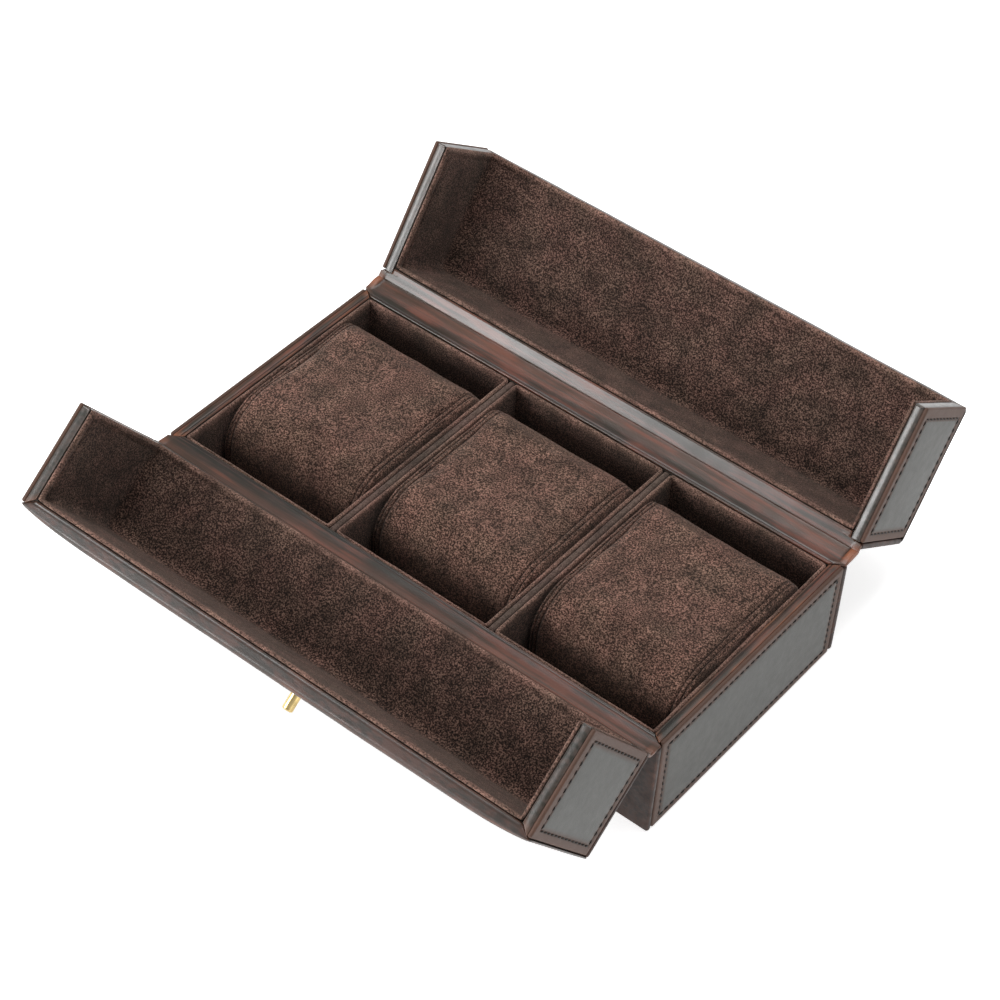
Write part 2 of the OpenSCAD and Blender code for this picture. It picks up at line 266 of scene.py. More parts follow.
def new_object(name, data):
    """A new object, in the scene."""
    made = bpy.data.objects.new(name, data)
    bpy.context.scene.collection.objects.link(made)
    return made


def soften(piece, width):
    """Rounds off a piece's sharp edges."""
    bevel = piece.modifiers.new("soft_edges", "BEVEL")
    bevel.width, bevel.segments, bevel.limit_method = width, 2, "ANGLE"


def add_piece(name, shape, material, body=None, replaces=()):
    """A mesh piece from a shape, riding on its body and standing for CAD nodes."""
    mesh = bpy.data.meshes.new(name)
    mesh.from_pydata(shape.points.tolist(), [], [list(f) for f in shape.faces])
    mesh.polygons.foreach_set("use_smooth", [True] * len(mesh.polygons))
    marks = {"wear": np.exp(-shape.edge / WEAR_REACH), "groove": shape.groove, "border": shape.border}
    for key, values in marks.items():
        mesh.attributes.new(key, "FLOAT", "POINT").data.foreach_set("value", values.astype(np.float32))
    mesh.materials.append(material)
    mesh.update()
    piece = new_object(name, mesh)
    if body:
        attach(piece, body)
    if replaces:
        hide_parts(*replaces)
    return piece


# ---- Materials ----

def node(tree, kind, values=None, **settings):
    """A shader node of a kind such as Math. A value that is a socket is linked, and any other is set."""
    made = tree.nodes.new("ShaderNode" + kind)
    for key, value in settings.items():
        setattr(made, key, value)
    for key, value in (values or {}).items():
        if isinstance(value, bpy.types.NodeSocket):
            tree.links.new(value, made.inputs[key])
        else:
            made.inputs[key].default_value = value
    return made


def ramp(tree, factor, stops):
    """A colour ramp's colour output. stops are (place, (r, g, b))."""
    made = node(tree, "ValToRGB", {"Fac": factor})
    elements = made.color_ramp.elements
    while len(elements) < len(stops):
        elements.new(0.5)
    for element, (place, colour) in zip(elements, stops):
        element.position = place
        element.color = (*colour, 1)
    return made.outputs["Color"]


def mix(tree, factor, a, b, blend="MIX"):
    """Two colours mixed."""
    a, b = ((*colour, 1) if isinstance(colour, tuple) else colour for colour in (a, b))
    return node(tree, "Mix", {0: factor, 6: a, 7: b}, data_type="RGBA", blend_type=blend).outputs[2]


def maths(tree, operation, a, b):
    """The result of a sum on two numbers, kept from 0 to 1."""
    return node(tree, "Math", {0: a, 1: b}, operation=operation, use_clamp=True).outputs[0]


def ranged(tree, value, low, high, to_low=0.0, to_high=1.0):
    """A number moved from one range to another."""
    return node(tree, "MapRange", {"Value": value, "From Min": low, "From Max": high,
                                   "To Min": to_low, "To Max": to_high}).outputs[0]


def object_space(tree, stretch=(1, 1, 1)):
    """Object coordinates, drawn out along an axis where stretch is under 1."""
    coords = node(tree, "TexCoord").outputs["Object"]
    return node(tree, "Mapping", {"Vector": coords, "Scale": stretch}).outputs[0]


def grain(tree, coords, size, detail=2.0, rough=0.5):
    """Noise whose features are about size metres across."""
    return node(tree, "TexNoise", {"Vector": coords, "Scale": 1 / size, "Detail": detail,
                                   "Roughness": rough}).outputs["Fac"]


def bumped(tree, height, depth, strength, under=None):
    """A normal from a height. depth is in metres."""
    values = {"Height": height, "Distance": depth, "Strength": strength}
    if under:
        values["Normal"] = under
    return node(tree, "Bump", values).outputs[0]


def surface(tree, values):
    """The principled shader and the material's output."""
    shader = node(tree, "BsdfPrincipled", values)
    node(tree, "OutputMaterial", {"Surface": shader.outputs[0]})


def new_tree(name):
    """A new material and its empty node tree."""
    material = bpy.data.materials.new(name)
    material.use_nodes = True
    material.node_tree.nodes.clear()
    return material, material.node_tree


def marked(tree, key):
    """What a piece says about each of its points: wear, the groove share that is darkened as painted shade, or
    border.
    """
    return node(tree, "Attribute", attribute_name=key).outputs["Fac"]


def in_grooves(tree, colour):
    """A colour darkened in the piece's grooves, as painted shade."""
    share = maths(tree, "MULTIPLY", marked(tree, "groove"), 0.8)
    # grooves are darkened towards this near-black: painted shade
    return mix(tree, share, colour, (0.006, 0.004, 0.003))


def leather(name, dark, middle, light, worn, border, gloss, along=(1, 1, 1), worn_most=0.75, shine=0.5,
            creased=0.4):
    """Waxed leather: cloudy colour drawn out along a strip, fine grain, and patches of paler worn edge."""
    material, tree = new_tree(name)
    coords = object_space(tree)
    lengthwise = object_space(tree, along)
    clouds = grain(tree, coords, 24 * MM, 3)
    streaks = grain(tree, lengthwise, 1.9 * MM, 3)
    patches = maths(tree, "ADD", maths(tree, "MULTIPLY", clouds, 0.4), maths(tree, "MULTIPLY", streaks, 0.6))
    colour = ramp(tree, patches, [(0.42, dark), (0.5, middle), (0.59, light)])
    colour = mix(tree, marked(tree, "border"), colour, border)
    place = ranged(tree, grain(tree, coords, 21 * MM, 2), 0.40, 0.62, 0.12, 1.0)
    rubbed = ranged(tree, grain(tree, lengthwise, 2.4 * MM, 3), 0.35, 0.62, 0.25, 1.0)
    rubbed = maths(tree, "MULTIPLY", maths(tree, "MULTIPLY", place, rubbed), worn_most)
    colour = mix(tree, maths(tree, "MULTIPLY", marked(tree, "wear"), rubbed), colour, worn)
    pores = node(tree, "TexVoronoi", {"Vector": coords, "Scale": 1 / (0.55 * MM)}).outputs["Distance"]
    creases = grain(tree, lengthwise, 3.0 * MM, 4, 0.6)
    normal = bumped(tree, creases, 0.25 * MM, creased, bumped(tree, pores, 0.06 * MM, 0.3))
    roughness = ranged(tree, grain(tree, lengthwise, 5 * MM, 3), 0.3, 0.7,
                       gloss - 0.2 * creased, gloss + 0.25 * creased)
    roughness = maths(tree, "ADD", roughness, maths(tree, "MULTIPLY", marked(tree, "border"), 0.2))
    surface(tree, {"Base Color": in_grooves(tree, colour), "Roughness": roughness, "Normal": normal,
                   "Specular IOR Level": shine})
    return material


def suede(name, dark, middle, light, size=0.7 * MM, fuzz=1.0, edge_share=0.5):
    """Suede: a short nap with light fibre tips over dark roots, brushed this way and that."""
    material, tree = new_tree(name)
    coords = object_space(tree)
    tips = grain(tree, coords, size, 2, 0.6)
    brushed = grain(tree, coords, 10 * MM, 3, 0.55)
    warm = grain(tree, coords, 17 * MM, 2)
    colour = ramp(tree, tips, [(0.385, dark), (0.5, middle), (0.615, light)])
    shade = ramp(tree, brushed, [(0.34, (0.66, 0.66, 0.66)), (0.66, (1.32, 1.28, 1.28))])
    tint = ramp(tree, warm, [(0.36, (0.98, 1.01, 0.98)), (0.64, (1.04, 0.97, 0.97))])
    fuzzy = ramp(tree, tips, [(0.36, middle), (0.5, light), (0.64, tuple(1.7 * v for v in light))])
    colour = mix(tree, maths(tree, "MULTIPLY", marked(tree, "wear"), edge_share), colour, fuzzy)
    colour = mix(tree, 1.0, mix(tree, 1.0, colour, shade, "MULTIPLY"), tint, "MULTIPLY")
    normal = bumped(tree, tips, 0.5 * MM, 0.8 * fuzz, bumped(tree, brushed, 0.8 * MM, 0.25 * fuzz))
    surface(tree, {"Base Color": in_grooves(tree, colour), "Roughness": 0.95, "Normal": normal,
                   "Specular IOR Level": 0.12, "Sheen Weight": 0.22, "Sheen Roughness": 0.5,
                   "Sheen Tint": (0.8, 0.68, 0.6, 1)})
    return material


def thread(name, dark, light):
    """Waxed thread, twisted."""
    material, tree = new_tree(name)
    twist = node(tree, "TexWave", {"Vector": object_space(tree), "Scale": 1 / (3 * MM),
                                   "Distortion": 2.0}).outputs["Fac"]
    surface(tree, {"Base Color": ramp(tree, twist, [(0.2, dark), (0.8, light)]), "Roughness": 0.6,
                   "Normal": bumped(tree, twist, 0.1 * MM, 0.5)})
    return material


def metal(name, colour, dull, roughness):
    """Metal with fine turning marks and faint tarnish."""
    material, tree = new_tree(name)
    coords = object_space(tree)
    marks = grain(tree, object_space(tree, (1, 1, 0.1)), 0.35 * MM, 3)
    tarnish = grain(tree, coords, 4 * MM, 3)
    surface(tree, {"Base Color": ramp(tree, tarnish, [(0.35, colour), (0.75, dull)]), "Metallic": 1.0,
                   "Roughness": ranged(tree, tarnish, 0.3, 0.7, roughness - 0.05, roughness + 0.1),
                   "Normal": bumped(tree, marks, 0.02 * MM, 0.4)})
    return material


def fibreboard(name, dark, light):
    """Pressed board with short fibres."""
    material, tree = new_tree(name)
    fibres = grain(tree, object_space(tree, (0.3, 1, 1)), 0.8 * MM, 4, 0.7)
    surface(tree, {"Base Color": ramp(tree, fibres, [(0.35, dark), (0.65, light)]), "Roughness": 0.85,
                   "Normal": bumped(tree, fibres, 0.15 * MM, 0.4)})
    return material


BROWN, RUST, OLIVE = (0.040, 0.024, 0.018), (0.120, 0.040, 0.025), (0.015, 0.014, 0.009)
WORN, RAW = (0.20, 0.080, 0.045), (0.26, 0.085, 0.035)
ALONG_X, ALONG_Y = (0.05, 1, 1), (1, 0.05, 1)

LEATHER = leather("dark_leather", (0.016, 0.010, 0.008), (0.024, 0.012, 0.009), (0.033, 0.016, 0.011),
                  WORN, RAW, 0.50, worn_most=0.5, shine=0.3)
TOP_LEATHER = leather("top_leather", (0.020, 0.015, 0.011), (0.035, 0.021, 0.016), (0.060, 0.028, 0.020),
                      WORN, RAW, 0.38, (0.4, 1, 1), 0.55, 0.5, 0.3)
STRIP_LEATHER = leather("long_strip_leather", OLIVE, BROWN, RUST, WORN, RAW, 0.33, ALONG_X, 0.55, 0.6, 0.2)
END_LEATHER = leather("end_strip_leather", OLIVE, BROWN, RUST, (0.30, 0.11, 0.05), RAW, 0.40, ALONG_Y, 0.95)
CAP_LEATHER = leather("cap_strip_leather", OLIVE, (0.038, 0.030, 0.025), (0.055, 0.038, 0.030),
                      (0.12, 0.062, 0.042), (0.16, 0.07, 0.04), 0.32, worn_most=0.35, shine=0.7, creased=0.15)
PANEL_LEATHER = leather("panel_leather", (0.016, 0.016, 0.011), (0.019, 0.019, 0.013), (0.024, 0.022, 0.016),
                        (0.14, 0.062, 0.038), (0.078, 0.041, 0.028), 0.40, (1, 1, 1), 0.6, 0.36, 0.12)
SUEDE = suede("cushion_suede", (0.016, 0.010, 0.007), (0.074, 0.042, 0.032), (0.25, 0.148, 0.113))
# The lining suede is set darker than the cushion suede: painted shade for the shaded insides of the lids and bays.
SHADED_LINING_SUEDE = suede("lining_suede_painted_shade", (0.008, 0.005, 0.004), (0.042, 0.024, 0.019), (0.175, 0.107, 0.084),
                     edge_share=0.8)
DIVIDER_SUEDE = suede("divider_suede", (0.050, 0.034, 0.028), (0.078, 0.055, 0.046), (0.115, 0.083, 0.070),
                      0.7 * MM, 0.4, 0.2)
THREAD = thread("dark_thread", (0.006, 0.005, 0.004), (0.026, 0.017, 0.012))
BRASS = metal("brass", (0.80, 0.60, 0.27), (0.50, 0.38, 0.17), 0.2)
STEEL = metal("magnet_steel", (0.62, 0.62, 0.64), (0.42, 0.42, 0.44), 0.35)
BOARD = fibreboard("dyed_board", (0.020, 0.014, 0.010), (0.045, 0.032, 0.024))


# ---- Stitches ----

def stitch(start, end, up):
    """One stitch: a thread that rises out of one hole and dips into the next."""
    rings, sides = 6, 6
    start, end, up = (np.array(v, float) for v in (start, end, up))
    along = (end - start) / np.linalg.norm(end - start)
    across = np.cross(up, along)
    points, out = [], []
    for t in np.linspace(0, 1, rings):
        bow = math.sin(math.pi * t)
        centre = start + (end - start) * t + up * STITCH_THICK * (0.45 * bow - 0.3)
        r = STITCH_THICK / 2 * (0.5 + 0.5 * math.sqrt(bow))
        for k in range(sides):
            a = 2 * math.pi * k / sides
            direction = across * math.cos(a) + up * math.sin(a)
            points.append(centre + direction * r)
            out.append(direction)
    return Shape(np.array(points), tube_faces(rings, sides), np.array(out), np.full(len(points), UNWORN))


def stitch_ring(corners, up):
    """Stitches round a closed outline, evenly spaced along each side, each a little askew."""
    made = []
    for a, b in zip(corners, corners[1:] + corners[:1]):
        a, b = np.array(a, float), np.array(b, float)
        length = np.linalg.norm(b - a)
        count = max(1, round(length / STITCH_PITCH))
        along = (b - a) / length
        askew = np.cross(up, along) * STITCH_THICK * 0.35
        for i in range(count):
            centre = a + (b - a) * (i + 0.5) / count
            half = along * STITCH_LONG / 2
            made.append(stitch(centre - half - askew, centre + half + askew, up))
    return made


# ---- Parts that the tray and the lids share ----

def cover_board(low, high, seed):
    """A board covered in leather, with turned edges and a slightly uneven face."""
    made = slab(low, high, LEATHER_EDGE, (4 * MM, 0.6 * MM, 4 * MM))
    return made.push(waves(made.points, 28 * MM, seed) * 0.15 * MM)


def end_panel(low, high, side, seed, seam_inset=STITCH_INSET):
    """A leather end panel with a sewn-down border, and its stitches. side is 1 where it faces +X."""
    insets = {1: (STITCH_INSET, seam_inset), 2: (STITCH_INSET, STITCH_INSET)}
    lines = [[]] + [[e + s * (inset + d * MM) for e, s, inset in zip((low[a], high[a]), (1, -1), insets[a])
                     for d in (-0.9, -0.45, 0, 0.45, 0.9)] for a in (1, 2)]
    made = slab(low, high, PANEL_EDGE, (0.7 * MM, 3 * MM, 3 * MM), lines)
    p = made.points
    past = np.min([(p[:, a] - low[a] - insets[a][0], high[a] - p[:, a] - insets[a][1]) for a in (1, 2)],
                  axis=(0, 1))
    outer = np.clip(made.out[:, 0] * side, 0, 1)
    sewn = channel(past, SEAM_WIDTH)
    swell = (1 - np.exp(-np.maximum(past, 0) / (8 * MM))) * PANEL_SWELL
    made.push(outer * (swell - sewn * SEAM_DEPTH) + waves(p, 26 * MM, seed) * 0.06 * MM)
    # the dip of the row of stitches is darkened in the material: painted shade
    made.groove = sewn * outer * 0.35
    made.border = np.clip(1 - (past - 0.6 * MM) / (0.9 * MM), 0, 1)
    face = high[0] if side > 0 else low[0]
    y = low[1] + insets[1][0], high[1] - insets[1][1]
    z = low[2] + insets[2][0], high[2] - insets[2][1]
    corners = [(face, y[0], z[0]), (face, y[1], z[0]), (face, y[1], z[1]), (face, y[0], z[1])]
    return made, joined(stitch_ring(corners, (side, 0, 0)))


def bead_and_groove(from_edge):
    """At distances from a strip's inner edge: how far its bead stands up, and its groove's share of depth."""
    bead = channel(from_edge - BEAD_IN, BEAD_WIDTH) * BEAD_HEIGHT
    return bead, channel(from_edge - GROOVE_IN, GROOVE_WIDTH)


def relief(made, from_inner, width, facing, seed, beaded):
    """Gives a strip's face a soft dome and, if beaded, a bead by its inner edge and a groove beside that."""
    bead, groove = (beaded * v for v in bead_and_groove(from_inner))
    dome = channel(from_inner - 0.62 * width, 0.4 * width) * STRIP_DOME
    uneven = waves(made.points, 13 * MM, seed) * 0.12 * MM
    made.push(facing * (bead + dome - groove * GROOVE_DEPTH + uneven - FACE_SINK))
    # the groove's share also darkens the colour there: painted shade
    made.groove = groove * (facing > 0.3)
    if beaded:
        made.edge = np.minimum(made.edge, np.abs(from_inner - BEAD_IN) + 0.5 * MM)
    return made


def strip(low, high, across, inner_end, face, seed, beaded=1):
    """A straight strip of leather.

    across is the axis from its inner edge, and face is the (axis, side) that it shows.
    """
    low, high = np.array(low, float), np.array(high, float)
    inner = (low, high)[inner_end][across]
    sign = -1 if inner_end else 1
    steps = [3.5 * MM] * 3
    steps[across], steps[face[0]] = 0.6 * MM, 0.6 * MM
    marks = [[], [], []]
    marks[across] = [inner + sign * d * MM for d in (0.3, 0.55, 0.8, 1.05, 1.3, 1.55)]
    made = slab(low, high, STRIP_EDGE, steps, marks)
    facing = np.clip(made.out[:, face[0]] * face[1], 0, 1)
    return relief(made, np.abs(made.points[:, across] - inner), (high - low)[across], facing, seed, beaded)


def mitred(shape, across, along, low, high, reach_low, reach_high):
    """Draws a strip's ends in to a mitre: its half length goes from reach_low to reach_high across it."""
    share = np.clip((shape.points[:, across] - low) / (high - low), 0, 1)
    longest = max(reach_low, reach_high)
    end = longest - np.abs(shape.points[:, along])
    shape.points[:, along] *= (reach_low + (reach_high - reach_low) * share) / longest
    shape.border = np.maximum(shape.border, 0.7 * np.exp(-np.maximum(end, 0) / (0.9 * MM)))
    return shape


# ---- Tray ----

def side_rim(side, seed):
    """The leather strip on an end rim, mitred into the hinge leathers."""
    low, high = node_box(side + "_rim")
    sign = SIDES[side]
    low[0], high[0] = (low[0], high[0] - SLIT) if sign < 0 else (low[0] + SLIT, high[0])
    made = strip(low, high, 0, 1 if sign < 0 else 0, (2, 1), seed)
    board = node_box("right_wall_board")[1][1]
    outer, inner = high[1], board
    reach = (outer, inner) if sign < 0 else (inner, outer)
    return mitred(made, 0, 1, low[0], high[0], *reach)


def make_tray_shell():
    for i, place in enumerate(LIDS):
        shape = cover_board(*node_box(place + "_cover"), 1 + i)
        add_piece(place + "_cover_leather", shape, LEATHER, "tray", [place + "_cover"])
    for i, (side, sign) in enumerate(SIDES.items()):
        name = side + "_end_panel"
        shape, sewing = end_panel(*node_box(name), sign, 5 + i)
        add_piece(name + "_leather", shape, PANEL_LEATHER, "tray", [name])
        add_piece(name + "_stitches", sewing, THREAD, "tray")
        rim = side + "_rim"
        add_piece(rim + "_leather", side_rim(side, 7 + i), END_LEATHER, "tray", [rim])


def bay_path(low, high, fillet):
    """Points and outward directions round a bay's rounded rectangle, anticlockwise, about 5 mm apart."""
    path, normals = [], []
    corner_steps, side_step = 5, 5 * MM
    corners = ((1, 1), (-1, 1), (-1, -1), (1, -1))
    centres = [np.array([(high if s > 0 else low)[a] - s * fillet for a, s in enumerate(corner)])
               for corner in corners]
    for i, centre in enumerate(centres):
        for k in range(corner_steps + 1):
            a = math.pi / 2 * (i + k / corner_steps)
            normals.append(np.array([math.cos(a), math.sin(a)]))
            path.append(centre + normals[-1] * fillet)
        start, target = path[-1], centres[(i + 1) % 4] + normals[-1] * fillet
        count = max(2, round(np.linalg.norm(target - start) / side_step))
        for k in range(1, count):
            path.append(start + (target - start) * k / count)
            normals.append(normals[-1])
    return path, normals


def sleeve(low, high, thick, fillet, seed):
    """A bay's suede sleeve: a wall round a rounded rectangle, with a rolled upper edge."""
    path, normals = bay_path(low, high, fillet)
    lip = thick / 2
    profile = [(0, z) for z in np.linspace(low[2], high[2] - lip, 10)]
    profile += [(lip - lip * math.cos(a), high[2] - lip + lip * math.sin(a))
                for a in np.linspace(0, math.pi, 9)[1:-1]]
    profile += [(thick, z) for z in np.linspace(high[2] - lip, low[2], 14)]
    points, out, edge = [], [], []
    for p, n in zip(path, normals):
        for offset, z in profile:
            points.append([*(p - n * offset), z])
            out.append([*(-n if offset > lip else n), 0])
            edge.append(max(0, high[2] - z - lip))
    points = np.array(points)
    rows, count = len(path), len(profile)
    faces = [[i * count + j, i * count + (j + 1) % count,
              (i + 1) % rows * count + (j + 1) % count, (i + 1) % rows * count + j][::-1]
             for i in range(rows) for j in range(count)]
    inside = np.array([offset > lip for offset, _ in profile] * rows)
    made = Shape(points, faces, np.array(out), np.array(edge))
    return made.push(waves(points, 16 * MM, seed) * 0.25 * MM * inside)


def make_bays():
    for i, bay in enumerate(BAYS):
        name = bay + "_bay_liner"
        low, high = node_box(name)
        shape = sleeve(low, high, LINER_THICK, BAY_FILLET, 11 + i)
        # bay liners take the darkened lining suede, whose darkness is painted shade
        add_piece(name + "_suede", shape, SHADED_LINING_SUEDE, "tray", [name])
    for i, side in enumerate(SIDES):
        name = side + "_divider"
        shape = slab(*node_box(name), 1.1 * MM, (0.5 * MM, 4 * MM, 4 * MM))
        shape.push(waves(shape.points, 12 * MM, 14 + i) * 0.08 * MM)
        add_piece(name + "_suede", shape, DIVIDER_SUEDE, "tray", [name])
    shape = slab(*node_box("floor_lining"), 0.5 * MM, 4 * MM)
    shape.edge += UNWORN
    add_piece("floor_suede", shape, SHADED_LINING_SUEDE, "tray", ["floor_lining"])


# ---- Cushions ----

def rounded_outline(corners, step):
    """Points and outward directions round a rectangle in YZ, anticlockwise. corners are (y, z, radius)."""
    points, normals = [], []
    for i, (y, z, r) in enumerate(corners):
        away = np.array([(1, -1), (1, 1), (-1, 1), (-1, -1)][i])
        centre = np.array([y, z]) - away * r
        for a in np.linspace(i - 1, i, 13) * math.pi / 2:
            normals.append((math.cos(a), math.sin(a)))
            points.append(centre + r * np.array(normals[-1]))
    points, normals = np.array(points + points[:1]), np.array(normals + normals[:1])
    points, normals = resampled(step, points, normals, closed=True)
    return points, unit(normals)


def cushion_form(low, high):
    """A cushion before it is stuffed: a wide roll along the front, a tight one along the rear, soft sides."""
    corners = [(high[1], low[2], CUSHION_FOOT_ROLL), (high[1], high[2], CUSHION_REAR_ROLL),
               (low[1], high[2], CUSHION_FRONT_ROLL), (low[1], low[2], CUSHION_FOOT_ROLL)]
    outline, normals = rounded_outline(corners, 1.8 * MM)
    middle, half = (low[0] + high[0]) / 2, (high[0] - low[0]) / 2
    r = CUSHION_SIDE_ROLL
    seams = [s + d * MM for s in CUSHION_SEAMS for d in (-0.7, -0.35, 0, 0.35, 0.7)]
    flat = np.linspace(0, half - r, round((half - r) / (2 * MM)) + 1).tolist()
    turns = [math.asin(1 - s / r) for s in seams if 0 < s < r] + list(np.radians((20, 40, 60, 75, 90)))
    stations = {(x, 0.0) for x in flat + [half - s for s in seams if s > r]}
    stations |= {(half - r + r * math.sin(a), a) for a in turns}
    stations = sorted(stations)
    rows = [(-x, a, 1) for x, a in reversed(stations[1:])] + [(x, a, 1) for x, a in stations]
    caps = (0.85, 0.6, 0.3, 0.05)
    rows = [(-half, math.pi / 2, k) for k in reversed(caps)] + rows + [(half, math.pi / 2, k) for k in caps]
    centre = outline.mean(0)
    points, out, edge = [], [], []
    for x, a, share in rows:
        side = math.copysign(math.sin(a), x)
        ring = outline - normals * r * (1 - math.cos(a))
        ring = centre + (ring - centre) * share
        bulge = math.copysign((1 - share) * 0.8 * MM, x)
        for p, n in zip(ring, normals):
            points.append((middle + x + bulge, *p))
            out.append((side, *(n * math.cos(a))) if share == 1 else (math.copysign(1, x), 0, 0))
            edge.append(half - abs(x))
    count = len(outline)
    made = Shape(np.array(points), tube_faces(len(rows), count), np.array(out), np.array(edge))
    across = (made.points[:, 0] - middle) / half
    upper = np.clip((made.points[:, 2] - low[2]) / (high[2] - low[2]), 0, 1) ** 3
    made.points[:, 2] += upper * 0.5 * MM * (0.6 - across ** 4)
    return made


def stuffed(piece):
    """The piece's mesh blown up a little by a cloth simulation, as a search tree."""
    scene = bpy.context.scene
    body = new_object("stuffing", piece.data.copy())
    remesh = body.modifiers.new("remesh", "REMESH")
    remesh.mode, remesh.voxel_size = "VOXEL", 4 * MM
    cloth = body.modifiers.new("cloth", "CLOTH")
    settings = cloth.settings
    settings.use_pressure, settings.uniform_pressure_force = True, 4
    settings.effector_weights.gravity = 0
    settings.tension_stiffness = settings.compression_stiffness = 12
    settings.bending_stiffness = 0.4
    settings.mass = 0.2
    cloth.point_cache.frame_start, cloth.point_cache.frame_end = 1, STUFFING_FRAMES
    for step in range(1, STUFFING_FRAMES + 1):
        scene.frame_set(step)
    smooth = body.modifiers.new("smooth", "SUBSURF")
    smooth.levels = smooth.render_levels = 1
    graph = bpy.context.evaluated_depsgraph_get()
    result = body.evaluated_get(graph).to_mesh()
    points = [v.co.copy() for v in result.vertices]
    tree = BVHTree.FromPolygons(points, [tuple(f.vertices) for f in result.polygons])
    scene.frame_set(1)
    bpy.data.objects.remove(body)
    return tree


def make_cushion(bay, seed):
    """A cushion that lifts out: stuffed, with its side seams sewn down."""
    low, high = node_box(bay + "_cushion_cover")
    low[0] -= CUSHION_BULGE
    high[0] += CUSHION_BULGE
    low[1] += 0.3 * MM
    high[2] += 0.2 * MM
    shape = cushion_form(low, high)
    name = bay + "_cushion"
    trial = add_piece(name + "_trial", shape, SUEDE)
    tree = stuffed(trial)
    bpy.data.objects.remove(trial)
    for i, p in enumerate(shape.points):
        near, _, _, distance = tree.find_nearest(Vector(p))
        if near is not None:
            shape.points[i] = p + (np.array(near) - p) * min(1, STUFFING_MOST / max(distance, 1e-9))
    shape.points[:, 0] = np.clip(shape.points[:, 0], low[0] - 0.4 * MM, high[0] + 0.4 * MM)
    shape.points[:, 2] = np.maximum(shape.points[:, 2], low[2])
    sewn = np.max([channel(shape.edge - s, 0.5 * MM) for s in CUSHION_SEAMS], axis=0)
    shape.push(waves(shape.points, 19 * MM, seed) * 0.45 * MM - sewn * CUSHION_SEAM_DEPTH)
    # the sewn dips are darkened in the material: painted shade
    shape.groove = sewn * 0.9
    shape.edge = shape.edge + 2 * MM
    piece = add_piece(name + "_suede", shape, SUEDE, bay + "_cushion",
                      [bay + "_cushion_cover", bay + "_cushion_foam"])


# ---- Lids ----

def padded_top():
    """A lid's top: leather over padding, turned down round the edges and over the board's edge at the seam.

    The turned-down lip is mitred into the strips along the ends of the seam.
    """
    low, high = lid_box("top_cover")
    board, end = lid_box("top_board"), lid_box("right_end_board")
    foot = board[0][2]
    lip = high[1] - board[1][1]
    round_edge = (TOP_EDGE, TOP_EDGE)
    made = slab((low[0], low[1], foot), high, (round_edge, round_edge, (0.6 * MM, TOP_EDGE)),
                (4 * MM, 3 * MM, 0.8 * MM), ((), (high[1] - lip, high[1] - 0.8 * lip), (low[2],)))
    p = made.points
    upper = np.clip((p[:, 2] - low[2]) / (high[2] - low[2]), 0, 1)
    reach_x = np.minimum(p[:, 0] - low[0], high[0] - p[:, 0]).clip(0)
    crown = 1 - np.exp(-reach_x / TOP_CROWN_REACH)
    for reach_y, share in ((p[:, 1] - low[1], 1), (high[1] - p[:, 1], TOP_SEAM_DROP)):
        crown *= 1 - share * np.exp(-reach_y.clip(0) / TOP_CROWN_REACH)
    p[:, 2] -= upper * TOP_EDGE_DROP * (1 - crown)
    below = np.clip((low[2] - p[:, 2]) / (low[2] - foot), 0, 1)
    on_board = (p[:, 1] < high[1] - 0.9 * lip) & (below > 0)
    p[on_board, 2] = low[2] - below[on_board] * 0.05 * MM
    below[on_board] = 0
    p[:, 0] *= 1 - below * (1 - end[0][0] / high[0])
    at_seam = np.clip(made.out[:, 1], 0, 1)
    above_foot = p[:, 2] - foot
    # the dark line beside the seam's bead is painted shade in this groove
    made.groove = channel(above_foot - 1.4 * MM, 0.25 * MM) * (at_seam > 0.5)
    bead = channel(above_foot - 0.7 * MM, 0.4 * MM)
    made.push(at_seam * ((bead - made.groove) * 0.25 * MM - FACE_SINK))
    made.edge = np.minimum(made.edge, np.where(at_seam > 0.5, above_foot + 0.2 * MM, UNWORN))
    return made.push(waves(made.points, 24 * MM, 51) * 0.15 * MM)


def cap_strips(seed):
    """The strips on the edges of a lid's two end walls: along the mouth, and along the seam up to a mitre."""
    low, high = lid_box("rim")
    end, board = lid_box("right_end_board"), lid_box("top_board")
    thick = end[0][2] - low[2]
    inner, outer = end[0][0] + SLIT, end[1][0]
    shapes = []
    for sign in SIDES.values():
        x = sorted((sign * inner, sign * outer))
        inner_end = 0 if sign > 0 else 1
        foot = strip((x[0], low[1], low[2]), (x[1], high[1] - 0.2 * MM, low[2] + thick), 0, inner_end,
                     (2, -1), seed, 0)
        rise = strip((x[0], high[1] - thick, low[2]), (x[1], high[1], high[2]), 0, inner_end, (1, 1),
                     seed + 1, 0)
        p = rise.points
        share = np.clip((np.abs(p[:, 0]) - inner) / (outer - inner), 0, 1)
        top = board[0][2] + (high[2] - board[0][2]) * share - SLIT
        from_top = high[2] - p[:, 2]
        rise.border = 0.8 * np.exp(-np.maximum(from_top, 0) / (1.2 * MM))
        p[:, 2] = low[2] + (p[:, 2] - low[2]) * (top - low[2]) / (high[2] - low[2])
        shapes += [foot, rise]
    return joined(shapes)


